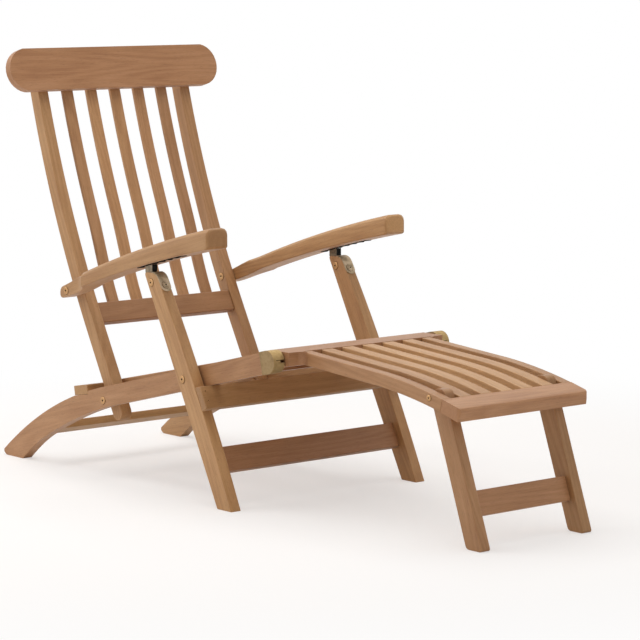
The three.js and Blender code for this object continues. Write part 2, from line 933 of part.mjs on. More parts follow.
function catchSolid() {
  return across(catchOutline(), legMiddle - latch.width / 2, legMiddle + latch.width / 2).subtract(
    rivetHole(catchPivot, largeRivet, leg.inner, legOuter),
  );
}

// A plate bent over the rounded top of the leg, with a round lower end
function plateSolid() {
  const front = legFront();
  const half = leg.thickness / 2;
  const corner = front.crown[0];
  const centre = corner.clone().add(onLeg(0, 0)).sub(onLeg(plate.reach - half, 0));
  const line = [...front.face.filter((here) => here.y > centre.y - 2 * half), ...front.crown.slice(1)];
  const outline = offsetBand(line, -fit, -fit - plate.thickness);
  const disc = new THREE.CylinderGeometry(half, half, 2 * leg.width, 2 * fine.bar);
  disc.rotateZ(Math.PI / 2);
  disc.rotateY(-legLean);
  disc.translate(centre.x, legMiddle, centre.y);
  const above = {
    x: centre.x - 2 * leg.width * Math.sin(legLean),
    z: centre.y + 2 * leg.width * Math.cos(legLean),
  };
  const upper = tiltedBoard(above, legLean, 2 * leg.width, 4 * leg.width, legOuter + overrun);
  const rear = front.crown[front.crown.length - 1].x;
  const trim = block(rear, rear + legLength, leg.inner, legOuter, 0, legLength);
  return across(outline, leg.inner, legOuter).intersect(solid(disc).add(upper)).intersect(trim);
}

// The stop board lies on the legs, its top edge cut to lie flat under the rails
function stopBoardSolid() {
  const faceX = (leg.width + leg.topWidth) / 2 + leg.belly + stopBoard.clear;
  const outline = [
    onLeg(stopBoard.along, faceX),
    onLeg(stopBoard.along, faceX + stopBoard.thickness),
    onLeg(stopBoard.along + stopBoard.height, faceX + stopBoard.thickness),
    onLeg(stopBoard.along + stopBoard.height, faceX),
  ];
  const low = rail.depth / 2 + fit;
  const under = band(railPath, 0, rail.noseReach + rail.kneeReach, low - rail.depth * 2, low, 1);
  const cutter = across(under, -legOuter - overrun, legOuter + overrun);
  return across(outline, -legOuter, legOuter).subtract(cutter);
}

function legBarBand(shoulder, reach) {
  const front = leg.width - legBar.setback - shoulder;
  const rear = leg.width - legBar.setback - legBar.thickness + shoulder;
  const outline = [
    onLeg(legBar.along - legBar.height / 2 + shoulder, rear),
    onLeg(legBar.along - legBar.height / 2 + shoulder, front),
    onLeg(legBar.along + legBar.height / 2 - shoulder, front),
    onLeg(legBar.along + legBar.height / 2 - shoulder, rear),
  ];
  return across(outline, -reach, reach);
}

function legBarTenon(gap) {
  return legBarBand(lowerRail.tenonShoulder - gap, leg.inner + lowerRail.tenonLength + gap);
}

function buildFrontLegs() {
  const group = addSubassembly("front_legs");
  addPair(group, "front_leg", legSolid(), teak);
  addPair(group, "leg_catch", catchSolid(), steel);
  addPair(group, "leg_plate", plateSolid(), brass);
  addPair(group, "leg_rivet", rivetSolid(legPivot, largeRivet, rail.inner, legOuter, true), brass);
  addPair(group, "catch_pin", rivetSolid(catchPivot, largeRivet, leg.inner, legOuter, false), brass);
  addPiece(group, "stop_board", stopBoardSolid(), shadedTeak);
  addPiece(group, "leg_stretcher", legBarBand(0, leg.inner - fit).add(legBarTenon(0)), shadedTeak);
}

// Rivets that the back and the arms turn on
function buildPivotRivets() {
  const low = addSubassembly("recline_rivets");
  addPair(low, "recline_rivet", rivetSolid(reclinePivot, largeRivet, stile.inner, railOuter, false), brass);
  const high = addSubassembly("arm_rivets");
  addPair(high, "arm_rivet", rivetSolid(armPivot, largeRivet, stile.inner, arm.knuckleOuter, false), brass);
}

// The path of the footrest's top face: it falls gently and then bends down
const footStart = { x: foot.crownX, z: foot.crownZ };
const footPath = bentPath(footStart, -foot.fall, foot.straight, foot.bendRadius, -1);
const footCentreX =
  foot.crownX + foot.straight * Math.cos(foot.fall) - foot.bendRadius * Math.sin(foot.fall);

// Length along the path at a place along the chair
function footAlong(x) {
  const straight = (x - foot.crownX) / Math.cos(foot.fall);
  const angle = Math.asin((x - footCentreX) / foot.bendRadius) - foot.fall;
  return straight < foot.straight ? straight : foot.straight + foot.bendRadius * angle;
}

// The legs of the footrest turn a little behind its front rail
const footPivotX = foot.frontRearX - footHinge.behind;
const footPivot = { x: footPivotX, z: footPath(footAlong(footPivotX), 0).y - footHinge.drop };

// A slat or side rail of the footrest, cut off upright in front of its rear rail
function footStrip(fromY, toY, thickness) {
  const outline = footBand(foot.rearFrontX, foot.frontRearX - fit, 0, thickness, fine.bend);
  const face = foot.rearFrontX + fit;
  const stub = block(face - overrun, face, fromY - overrun, toY + overrun, 0, foot.crownZ + overrun);
  return across(outline, fromY, toY).subtract(stub);
}

function footBand(fromX, toX, top, bottom, count) {
  return band(footPath, footAlong(fromX), footAlong(toX), -bottom, -top, count);
}

function footTenons(gap) {
  const fromX = foot.rearFrontX - foot.tenonLength - gap;
  const toX = foot.frontRearX + foot.tenonLength + gap;
  const railBar = across(
    footBand(fromX, toX, foot.tenonShoulder - gap, foot.depth - foot.tenonShoulder + gap, fine.bend),
    foot.sideInner + foot.tenonShoulder - gap,
    foot.sideOuter - foot.tenonShoulder + gap,
  );
  let tenons = railBar.add(railBar.mirror([0, 1, 0]));
  for (let i = 0; i < footSlat.count; i += 1) {
    const middle = slatMiddle(footSlat, i);
    const half = footSlat.width / 2 - footSlat.tenonShoulder + gap;
    const top = footSlat.tenonShoulder - gap;
    const bottom = footSlat.thickness - footSlat.tenonShoulder + gap;
    tenons = tenons.add(across(footBand(fromX, toX, top, bottom, fine.bend), middle - half, middle + half));
  }
  return tenons;
}

function footSideSolid() {
  const tenons = footTenons(0).intersect(
    block(foot.rearX, foot.frontX, foot.sideInner, foot.sideOuter, 0, foot.crownZ + overrun),
  );
  return footStrip(foot.sideInner, foot.sideOuter, foot.depth)
    .add(tenons)
    .subtract(rivetHole(footPivot, smallRivet, footLeg.inner, foot.sideOuter));
}

function footSlatSolid(index) {
  const middle = slatMiddle(footSlat, index);
  const lowY = middle - footSlat.width / 2;
  const highY = middle + footSlat.width / 2;
  const lane = block(foot.rearX, foot.frontX, lowY, highY, 0, foot.crownZ + overrun);
  return footStrip(lowY, highY, footSlat.thickness).add(footTenons(0).intersect(lane));
}

// A concave corner that leads the front of the rear rail into a side rail
function footCove() {
  const near = foot.sideOuter + fit;
  const middleX = foot.rearFrontX + foot.cove;
  const middleY = near + foot.cove;
  const corner = [point(foot.rearX, near), point(middleX, near)];
  for (let i = 1; i <= fine.round; i += 1) {
    const angle = (Math.PI * i) / (2 * fine.round);
    corner.push(point(middleX - foot.cove * Math.sin(angle), middleY - foot.cove * Math.cos(angle)));
  }
  return upright([...corner, point(foot.rearX, middleY)], foot.crownZ - foot.depth, foot.crownZ);
}

function footRearRailSolid() {
  const pins = roundBar(
    footPin,
    footPin.radius + fit,
    foot.rearHalf - footPin.buried,
    foot.rearHalf + overrun,
  );
  const low = foot.crownZ - foot.depth;
  return block(foot.rearX, foot.rearFrontX, -foot.rearHalf, foot.rearHalf, low, foot.crownZ)
    .add(footCove())
    .add(footCove().mirror([0, 1, 0]))
    .subtract(footTenons(fit))
    .subtract(pins)
    .subtract(pins.mirror([0, 1, 0]));
}

// The front rail has rounded corners in plan and a rounded front edge
function footFrontRailSolid() {
  const to = footAlong(foot.frontX);
  const from = footAlong(foot.frontRearX);
  const outline = [
    footPath(from, 0),
    footPath(from, -foot.depth),
    footPath(to, -foot.depth),
    ...curve(
      footPath(to, -foot.edgeRadius),
      footPath(to, 0),
      footPath(to - foot.edgeRadius, 0),
      fine.corner,
    ),
  ];
  const rear = foot.frontRearX - overrun;
  const plan = [point(rear, foot.sideOuter), point(rear, -foot.sideOuter)];
  for (const end of [-1, 1]) {
    for (let i = 0; i <= fine.round; i += 1) {
      const share = end < 0 ? i / fine.round : 1 - i / fine.round;
      const angle = (end * Math.PI * (1 - share)) / 2;
      const x = foot.frontX - foot.corner + foot.corner * Math.cos(angle);
      plan.push(point(x, end * (foot.sideOuter - foot.corner) + foot.corner * Math.sin(angle)));
    }
  }
  return across(outline, -foot.sideOuter, foot.sideOuter)
    .intersect(upright(plan, 0, foot.crownZ))
    .subtract(footTenons(fit));
}

function buildFootrest() {
  const group = addSubassembly("footrest");
  addPair(group, "footrest_side", footSideSolid(), teak);
  addPiece(group, "footrest_rear_rail", footRearRailSolid(), teak);
  addPiece(group, "footrest_front_rail", footFrontRailSolid(), teak);
  for (let i = 0; i < footSlat.count; i += 1) {
    addPiece(group, `footrest_slat_${i + 1}`, footSlatSolid(i), teak);
  }
  const pin = roundBar(
    footPin,
    footPin.radius,
    foot.rearHalf - footPin.buried + fit,
    foot.rearHalf + footPin.tip,
  );
  addPair(group, "footrest_pin", pin, brass);
  const rivet = rivetSolid(footPivot, smallRivet, footLeg.inner + fit, foot.sideOuter, true);
  addPair(group, "footrest_rivet", rivet, brass);
}

// Leg of the footrest: a round head, a straight shank and rounded sole corners
function footLegPath(along, forward) {
  return point(
    footPivot.x + along * Math.sin(footLeg.lean) + forward * Math.cos(footLeg.lean),
    footPivot.z - along * Math.cos(footLeg.lean) + forward * Math.sin(footLeg.lean),
  );
}

function footLegSolid() {
  const half = footLeg.width / 2;
  const climb = Math.tan(footLeg.lean);
  const reach = footPivot.z / Math.cos(footLeg.lean);
  const rearSole = footLegPath(reach - half * climb, -half);
  const frontSole = footLegPath(reach + half * climb, half);
  const round = footLeg.soleRound;
  const outline = [
    ...curve(
      footLegPath(reach - half * climb - round, -half),
      rearSole,
      point(rearSole.x + round, 0),
      fine.corner,
    ),
    ...curve(
      point(frontSole.x - round, 0),
      frontSole,
      footLegPath(reach + half * climb - round, half),
      fine.corner,
    ),
  ];
  for (let i = 0; i <= 2 * fine.round; i += 1) {
    const angle = (Math.PI * i) / (2 * fine.round);
    outline.push(footLegPath(-footLeg.head * Math.sin(angle), half * Math.cos(angle)));
  }
  return across(outline, footLeg.inner, footLeg.inner + footLeg.thickness)
    .subtract(rivetHole(footPivot, smallRivet, footLeg.inner, foot.sideOuter))
    .subtract(footBarTenon(fit));
}

function footBarBand(shoulder, reach) {
  const half = footBar.thickness / 2 - shoulder;
  const outline = [
    footLegPath(footBar.along + footBar.height / 2 - shoulder, -half),
    footLegPath(footBar.along + footBar.height / 2 - shoulder, half),
    footLegPath(footBar.along - footBar.height / 2 + shoulder, half),
    footLegPath(footBar.along - footBar.height / 2 + shoulder, -half),
  ];
  return across(outline, -reach, reach);
}

function footBarTenon(gap) {
  return footBarBand(foot.tenonShoulder - gap, footLeg.inner + foot.tenonLength + gap);
}

function buildFootrestLegs() {
  const group = addSubassembly("footrest_legs");
  addPair(group, "footrest_leg", footLegSolid(), teak);
  const bar = footBarBand(0, footLeg.inner - fit).add(footBarTenon(0));
  addPiece(group, "footrest_stretcher", bar, shadedTeak);
}

// Moves every piece so that the middle of the whole chair stands on the origin
function centre() {
  chair.updateMatrixWorld(true);
  const bounds = new THREE.Box3().setFromObject(chair, true);
  const middle = bounds.getCenter(new THREE.Vector3());
  chair.traverse((piece) => {
    if (piece.isMesh) {
      piece.geometry.translate(-middle.x, -middle.y, -bounds.min.z);
    }
  });
}

buildSeatFrame();
buildBack();
buildPivotRivets();
buildArms();
buildFrontLegs();
buildFootrest();
buildFootrestLegs();
centre();

export default chair;
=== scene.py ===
"""Looks of the folding steamer deck chair: bare teak, dulled brass and dark steel."""

import logging
import math
from dataclasses import dataclass, field
from enum import Enum
from typing import Any, Callable, NamedTuple

import bmesh
import bpy
from mathutils import Matrix, Vector


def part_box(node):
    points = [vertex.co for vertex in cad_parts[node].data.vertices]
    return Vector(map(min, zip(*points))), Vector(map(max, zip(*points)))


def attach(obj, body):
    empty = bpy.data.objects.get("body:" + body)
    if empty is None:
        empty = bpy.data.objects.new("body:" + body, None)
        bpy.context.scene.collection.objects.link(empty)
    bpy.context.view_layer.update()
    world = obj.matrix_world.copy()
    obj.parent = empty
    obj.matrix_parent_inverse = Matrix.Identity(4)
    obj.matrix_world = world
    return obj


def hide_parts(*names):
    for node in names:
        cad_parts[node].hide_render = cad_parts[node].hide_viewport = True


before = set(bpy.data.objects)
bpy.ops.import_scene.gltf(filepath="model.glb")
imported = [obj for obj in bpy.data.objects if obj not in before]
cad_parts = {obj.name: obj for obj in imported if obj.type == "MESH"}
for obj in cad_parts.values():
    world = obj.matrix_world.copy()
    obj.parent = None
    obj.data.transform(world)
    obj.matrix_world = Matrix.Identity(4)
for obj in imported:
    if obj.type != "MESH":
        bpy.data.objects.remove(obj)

logging.basicConfig(level=logging.INFO, format="%(message)s")
log = logging.getLogger("deck_chair")

MM = 0.001
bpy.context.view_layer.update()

# Corners of a mesh that lie closer together than this are one, in millimetres.
BOARD_WELD, RIVET_WELD = 0.01, 0.005
# Faces that turn less than this against each other are one, in degrees.
FLAT = 0.4
# Edges that turn more than this look sharp, in degrees.
BOARD_CREASE, RIVET_CREASE = 48, 40


class Slot(Enum):
    """Material slots of the record."""

    TEAK = "teak"
    SHADED_TEAK = "teak_shaded"
    BRASS = "brass"
    STEEL = "dark_steel"


class Side(Enum):
    """Sides of the chair, as the person who sits in it has them."""

    LEFT = 1
    RIGHT = -1

    @property
    def word(self) -> str:
        """Ending of the names of the pieces on this side."""
        return self.name.lower()


def linear(hex_colour: str) -> tuple[float, float, float, float]:
    """Turns an sRGB hex colour to linear values.

    Args:
        hex_colour: Six hex digits, such as "b08868".

    Returns:
        Red, green, blue and an alpha of one.
    """
    parts = [int(hex_colour[i : i + 2], 16) / 255 for i in (0, 2, 4)]
    red, green, blue = (p / 12.92 if p <= 0.04045 else ((p + 0.055) / 1.055) ** 2.4 for p in parts)
    return red, green, blue, 1.0


def add_node(
    tree: bpy.types.NodeTree,
    kind: str,
    values: dict[Any, Any] | None = None,
    links: dict[Any, bpy.types.NodeSocket] | None = None,
    **settings: Any,
) -> bpy.types.Node:
    """Adds a node with its settings, unlinked values and links.

    Args:
        tree: Node tree that gets the node.
        kind: Blender's type name of the node.
        values: Input name or number, and the value set on it.
        links: Input name or number, and the socket that feeds it.
        **settings: Properties of the node itself.

    Returns:
        The new node.
    """
    node = tree.nodes.new(kind)
    for name, value in settings.items():
        setattr(node, name, value)
    for key, value in (values or {}).items():
        node.inputs[key].default_value = value
    for key, socket in (links or {}).items():
        tree.links.new(socket, node.inputs[key])
    return node


def new_material(name: str) -> tuple[bpy.types.Material, bpy.types.NodeTree]:
    """Makes an empty node material.

    Args:
        name: Name of the material.

    Returns:
        The material and its node tree, with no nodes in it.
    """
    material = bpy.data.materials.new(name)
    material.use_nodes = True
    material.node_tree.nodes.clear()
    return material, material.node_tree


class Tint(NamedTuple):
    """How one board differs from its neighbours; for a few boards the tone or end lightness also paints light
    or shade that falls on them.

    Attributes:
        tone: Its lightness.
        yellow: How much yellower it is.
        ends: Lightness of its end grain against the rest of it.
    """

    tone: float = 1.0
    yellow: float = 0.0
    ends: float = 1.0


@dataclass(frozen=True)
class Grain:
    """How the log's grain lies in one piece.

    Attributes:
        direction: Along the fibres, in the chair's frame.
        seed: Shifts the figure, so that no two pieces are alike.
        tint: How this board differs in colour from the others.
    """

    direction: tuple[float, float, float]
    seed: float
    tint: Tint = Tint()

    def turn(self) -> tuple[float, float, float]:
        """Angles that lay the grain's direction along X."""
        along = Vector(self.direction).normalized()
        return tuple(along.rotation_difference(Vector((1, 0, 0))).to_euler())


@dataclass(frozen=True)
class Teak:
    """Sanded bare teak: warm tan, with faint growth lines and short dark pores.

    The eye sees soft low streaks along the board, faint arches where the saw
    crossed the growth rings, wide warmer and paler clouds, and a whitish bloom
    of dry sanded fibres where a face is seen at a low angle.

    Attributes:
        slot: Slot of the record that this finish stands for.
        pale: Colour of the early wood.
        middle: Colour of most of the surface.
        dark: Colour of the late wood.
        pore: Colour of the open pores.
        ring_mm: Distance between growth lines on the face of a board.
        arch_mm: Width of one arch of growth lines.
        cloud_mm: Width of a paler or warmer cloud.
        streak_mm: Width of a streak.
        pore_mm: Width of a pore, drawn about twice as wide as real ones.
        roughness: Roughness of the sanded face.
    """

    slot: Slot
    pale: str
    middle: str
    dark: str
    pore: str
    ring_mm: float = 5.5
    arch_mm: float = 55.0
    cloud_mm: float = 38.0
    streak_mm: float = 2.6
    pore_mm: float = 0.6
    roughness: float = 0.5

    def dress(self, piece: bpy.types.Object, grain: Grain) -> None:
        """Gives a piece this wood, with its own figure.

        Args:
            piece: Object that gets the material.
            grain: How the grain lies in it.
        """
        material, tree = new_material(f"{self.slot.value}_{piece.name}")
        place = add_node(tree, "ShaderNodeTexCoord")
        shift = (grain.seed * 1.7, grain.seed * 0.61, grain.seed * 0.37)
        board = add_node(
            tree,
            "ShaderNodeMapping",
            {"Rotation": grain.turn(), "Location": shift},
            {"Vector": place.outputs["Object"]},
        )
        streaks = self._noise(tree, board, self.streak_mm, 0.025, 3.0)
        clouds = self._noise(tree, board, self.cloud_mm, 0.22, 2.0)
        pores = self._noise(tree, board, self.pore_mm, 0.035, 2.0)
        figure = self._blend(tree, self._growth_lines(tree, board), streaks, 0.5)
        figure = self._blend(tree, figure, clouds, 0.42)
        ramp = add_node(tree, "ShaderNodeValToRGB", None, {"Fac": figure})
        stops = ramp.color_ramp.elements
        stops[0].position, stops[0].color = 0.3, self._toned(self.dark, grain)
        stops[1].position, stops[1].color = 0.7, self._toned(self.pale, grain)
        stops.new(0.5).color = self._toned(self.middle, grain)
        pored = self._with_pores(tree, ramp.outputs["Color"], pores, grain)
        colour = self._end_grain(tree, place, grain, pored)
        rough = add_node(
            tree,
            "ShaderNodeMapRange",
            {
                "From Min": 0.3,
                "From Max": 0.7,
                "To Min": self.roughness + 0.06,
                "To Max": self.roughness - 0.04,
            },
            {"Value": streaks},
        )
        height = self._blend(tree, streaks, pores, 0.6)
        bump = add_node(tree, "ShaderNodeBump", {"Strength": 0.12, "Distance": 0.3 * MM}, {"Height": height})
        shader = add_node(
            tree,
            "ShaderNodeBsdfPrincipled",
            {
                "IOR": 1.5,
                "Specular IOR Level": 0.5,
                "Sheen Weight": 0.3,
                "Sheen Roughness": 0.4,
                "Sheen Tint": linear("f3e6d8"),
            },
            {"Base Color": colour, "Roughness": rough.outputs["Result"], "Normal": bump.outputs["Normal"]},
        )
        add_node(tree, "ShaderNodeOutputMaterial", None, {"Surface": shader.outputs["BSDF"]})
        wear_material(piece, material)

    def _toned(self, hex_colour: str, grain: Grain, shade: float = 1.0) -> tuple[float, float, float, float]:
        """A colour of this wood, made lighter or yellower for one board."""
        red, green, blue, alpha = linear(hex_colour)
        tone = grain.tint.tone * shade
        return red * tone, green * tone**1.15 * (1 + grain.tint.yellow), blue * tone**1.3, alpha

    def _noise(
        self, tree: bpy.types.NodeTree, board: bpy.types.Node, width_mm: float, along: float, detail: float
    ) -> bpy.types.NodeSocket:
        """Cloudy noise drawn out along the grain.

        Args:
            tree: Node tree of the material.
            board: Node that lays the grain along X.
            width_mm: Width of one spot across the grain.
            along: Its width as a share of its length.
            detail: Number of finer layers.

        Returns:
            Socket of the grey value.
        """
        drawn_out = add_node(
            tree, "ShaderNodeVectorMath", {1: (along, 1, 1)}, {0: board.outputs[0]}, operation="MULTIPLY"
        )
        noise = add_node(
            tree,
            "ShaderNodeTexNoise",
            {"Scale": 1 / (width_mm * MM), "Detail": detail, "Roughness": 0.55},
            {"Vector": drawn_out.outputs[0]},
        )
        return noise.outputs["Fac"]

    def _growth_lines(self, tree: bpy.types.NodeTree, board: bpy.types.Node) -> bpy.types.NodeSocket:
        """Lines of equal height of a smooth noise, which close to long arches.

        Args:
            tree: Node tree of the material.
            board: Node that lays the grain along X.

        Returns:
            Socket of the grey value.
        """
        hill = self._noise(tree, board, self.arch_mm, 0.09, 0.0)
        turns = 2 * math.pi * self.arch_mm / self.ring_mm
        phase = add_node(tree, "ShaderNodeMath", {1: turns}, {0: hill}, operation="MULTIPLY")
        wave = add_node(tree, "ShaderNodeMath", None, {0: phase.outputs[0]}, operation="SINE")
        level = add_node(
            tree,
            "ShaderNodeMapRange",
            {"From Min": -1.0, "From Max": 1.0, "To Min": 0.32, "To Max": 0.68},
            {"Value": wave.outputs[0]},
        )
        return level.outputs["Result"]

    def _blend(
        self,
        tree: bpy.types.NodeTree,
        first: bpy.types.NodeSocket,
        second: bpy.types.NodeSocket,
        share: float,
    ) -> bpy.types.NodeSocket:
        """Blends two greys.

        Args:
            tree: Node tree of the material.
            first: Grey that gives what the second leaves.
            second: Grey that is mixed in.
            share: Share of the second.

        Returns:
            Socket of the blended grey.
        """
        mix = add_node(tree, "ShaderNodeMix", {0: share}, {2: first, 3: second}, data_type="FLOAT")
        return mix.outputs[0]

    def _with_pores(
        self,
        tree: bpy.types.NodeTree,
        face: bpy.types.NodeSocket,
        pores: bpy.types.NodeSocket,
        grain: Grain,
    ) -> bpy.types.NodeSocket:
        """Draws the open pores as short dark flecks.

        Args:
            tree: Node tree of the material.
            face: Colour between the pores.
            pores: Noise whose peaks are pores.
            grain: How the grain lies.

        Returns:
            Colour with the pores in it.
        """
        share = add_node(
            tree,
            "ShaderNodeMapRange",
            {"From Min": 0.58, "From Max": 0.7, "To Min": 0.0, "To Max": 0.55},
            {"Value": pores},
        )
        mixed = add_node(
            tree,
            "ShaderNodeMix",
            {7: self._toned(self.pore, grain)},
            {0: share.outputs["Result"], 6: face},
            data_type="RGBA",
        )
        return mixed.outputs[2]

    def _end_grain(
        self,
        tree: bpy.types.NodeTree,
        place: bpy.types.Node,
        grain: Grain,
        face: bpy.types.NodeSocket,
    ) -> bpy.types.NodeSocket:
        """Speckles and slightly darkens the faces that cut across the fibres.

        Args:
            tree: Node tree of the material.
            place: Node with the piece's own coordinates.
            grain: How the grain lies.
            face: Colour of the other faces.

        Returns:
            Colour of every face.
        """
        across = add_node(
            tree,
            "ShaderNodeVectorMath",
            {1: Vector(grain.direction).normalized()},
            {0: place.outputs["Normal"]},
            operation="DOT_PRODUCT",
        )
        facing = add_node(tree, "ShaderNodeMath", None, {0: across.outputs["Value"]}, operation="ABSOLUTE")
        share = add_node(
            tree,
            "ShaderNodeMapRange",
            {"From Min": 0.7, "From Max": 0.95, "To Min": 0.0, "To Max": 0.6},
            {"Value": facing.outputs[0]},
        )
        speckle = add_node(
            tree,
            "ShaderNodeTexNoise",
            {"Scale": 1 / (1.4 * MM), "Detail": 3.0, "Roughness": 0.7},
            {"Vector": place.outputs["Object"]},
        )
        ends = add_node(tree, "ShaderNodeValToRGB", None, {"Fac": speckle.outputs["Fac"]})
        stops = ends.color_ramp.elements
        stops[0].position, stops[0].color = 0.3, self._toned(self.dark, grain, 0.84 * grain.tint.ends)
        stops[1].position, stops[1].color = 0.65, self._toned(self.middle, grain, grain.tint.ends)
        mixed = add_node(
            tree,
            "ShaderNodeMix",
            None,
            {0: share.outputs["Result"], 6: face, 7: ends.outputs["Color"]},
            data_type="RGBA",
        )
        return mixed.outputs[2]


@dataclass(frozen=True)
class Metal:
    """Metal that weather and hands have dulled.

    Attributes:
        slot: Slot of the record that this finish stands for.
        colour: Colour of the clean metal.
        dull: Colour of the tarnish.
        roughness: Roughness where it is cleanest.
        spot_mm: Size of a patch of tarnish.
        brush_mm: Width of a brushed line, drawn coarse enough to show.
    """

    slot: Slot
    colour: str
    dull: str
    roughness: float
    spot_mm: float = 9.0
    brush_mm: float = 0.9

    def dress(self, piece: bpy.types.Object) -> None:
        """Gives a piece this metal."""
        wear_material(piece, self.material(piece.name))

    def material(self, name: str) -> bpy.types.Material:
        """Makes the material of this metal.

        Args:
            name: What the material is for.

        Returns:
            The new material.
        """
        material, tree = new_material(f"{self.slot.value}_{name}")
        place = add_node(tree, "ShaderNodeTexCoord")
        spots = add_node(
            tree,
            "ShaderNodeTexNoise",
            {"Scale": 1 / (self.spot_mm * MM), "Detail": 5.0, "Roughness": 0.6},
            {"Vector": place.outputs["Object"]},
        )
        lines = add_node(
            tree,
            "ShaderNodeTexNoise",
            {"Scale": 1 / (self.brush_mm * MM), "Detail": 2.0},
            {"Vector": place.outputs["Object"]},
        )
        ramp = add_node(tree, "ShaderNodeValToRGB", None, {"Fac": spots.outputs["Fac"]})
        stops = ramp.color_ramp.elements
        stops[0].position, stops[0].color = 0.38, linear(self.dull)
        stops[1].position, stops[1].color = 0.6, linear(self.colour)
        rough = add_node(
            tree,
            "ShaderNodeMapRange",
            {"From Min": 0.35, "From Max": 0.65, "To Min": self.roughness + 0.18, "To Max": self.roughness},
            {"Value": spots.outputs["Fac"]},
        )
        bump = add_node(
            tree,
            "ShaderNodeBump",
            {"Strength": 0.12, "Distance": 0.1 * MM},
            {"Height": lines.outputs["Fac"]},
        )
        shader = add_node(
            tree,
            "ShaderNodeBsdfPrincipled",
            {"Metallic": 1.0},
            {
                "Base Color": ramp.outputs["Color"],
                "Roughness": rough.outputs["Result"],
                "Normal": bump.outputs["Normal"],
            },
        )
        add_node(tree, "ShaderNodeOutputMaterial", None, {"Surface": shader.outputs["BSDF"]})
        return material


def wear_material(piece: bpy.types.Object, material: bpy.types.Material) -> None:
    """Puts one material on the whole of a piece."""
    piece.data.materials.clear()
    piece.data.materials.append(material)


def tint_faces(
    piece: bpy.types.Object, finish: Metal, chosen: Callable[[bpy.types.MeshPolygon], bool]
) -> None:
    """Gives some faces of a piece a second finish.

    Args:
        piece: Object that already wears its first finish.
        finish: Metal of the chosen faces.
        chosen: Tells whether a face is one of them.
    """
    extra = len(piece.data.materials)
    piece.data.materials.append(finish.material(f"{piece.name}_{extra + 1}"))
    for face in piece.data.polygons:
        if chosen(face):
            face.material_index = extra


TEAK = Teak(Slot.TEAK, pale="c89368", middle="b98457", dark="a56f45", pore="7c5132")
SHADED_TEAK = Teak(Slot.SHADED_TEAK, pale="b7835a", middle="a9774d", dark="97653d", pore="73492c")
BRASS = Metal(Slot.BRASS, colour="a08864", dull="99815e", roughness=0.56, spot_mm=16)
# Second brass for the nose, top and bottom faces of the caps: painted shading for how light falls on those
# faces.
NOSE_SHADING_BRASS = Metal(Slot.BRASS, colour="ab9164", dull="a48a5f", roughness=0.56, spot_mm=16)
GREY_BRASS = Metal(Slot.BRASS, colour="bfab90", dull="a39277", roughness=0.5, spot_mm=14)
RIVET_BRASS = Metal(Slot.BRASS, colour="c0986c", dull="b88f63", roughness=0.42)
STEEL = Metal(Slot.STEEL, colour="948672", dull="7c705f", roughness=0.42)
# Blackened steel of the racks; on the catches it also paints shade on the faces toward the front and top.
BLACK_STEEL_AND_SHADE = Metal(Slot.STEEL, colour="2c2a28", dull="1e1d1b", roughness=0.5)
# Dark brass on the outer walls of rivet rims: painted shade at the edge of each head.
RIM_SHADE_BRASS = Metal(Slot.BRASS, colour="5e4328", dull="543b22", roughness=0.7)
# Near-black brass in the pits of rivets and in the seams of the caps: painted shade.
RECESS_SHADE = Metal(Slot.BRASS, colour="2e2214", dull="241a0f", roughness=0.7)


@dataclass(frozen=True)
class EdgeStyle:
    """How the sharp edges of a sawn board are eased.

    Attributes:
        radius_mm: Width of the eased edge.
        segments: Faces across it.
        least_angle: Edges flatter than this stay as they are, in degrees.
        least_mm: Edges shorter than this belong to holes and stay sharp.
    """

    radius_mm: float = 2.2
    segments: int = 3
    least_angle: float = 28.0
    least_mm: float = 2.0


def shaped(node: str, edges: EdgeStyle) -> bpy.types.Object:
    """Makes a finished piece from the mesh of a CAD node, with eased edges.

    Args:
        node: Name of the node that the piece replaces.
        edges: How its edges are eased.

    Returns:
        The new object, which rides on nothing yet.
    """
    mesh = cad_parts[node].data.copy()
    mesh.name = f"{node}_shape"
    work = bmesh.new()
    work.from_mesh(mesh)
    bmesh.ops.remove_doubles(work, verts=work.verts, dist=BOARD_WELD * MM)
    bmesh.ops.dissolve_limit(
        work, angle_limit=math.radians(FLAT), verts=work.verts, edges=work.edges, delimit={"NORMAL"}
    )
    chosen = [
        edge
        for edge in work.edges
        if len(edge.link_faces) == 2
        and edge.is_convex
        and edge.calc_length() > edges.least_mm * MM
        and edge.calc_face_angle(0) > math.radians(edges.least_angle)
    ]
    bmesh.ops.bevel(
        work,
        geom=chosen,
        offset=edges.radius_mm * MM,
        offset_type="OFFSET",
        segments=edges.segments,
        profile=0.5,
        affect="EDGES",
        clamp_overlap=True,
        material=-1,
    )
    for face in work.faces:
        face.smooth = True
    work.to_mesh(mesh)
    work.free()
    mesh.set_sharp_from_angle(angle=math.radians(BOARD_CREASE))
    piece = bpy.data.objects.new(f"{node}_piece", mesh)
    bpy.context.scene.collection.objects.link(piece)
    normals = piece.modifiers.new("even_shading", "WEIGHTED_NORMAL")
    normals.keep_sharp = True
    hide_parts(node)
    return piece


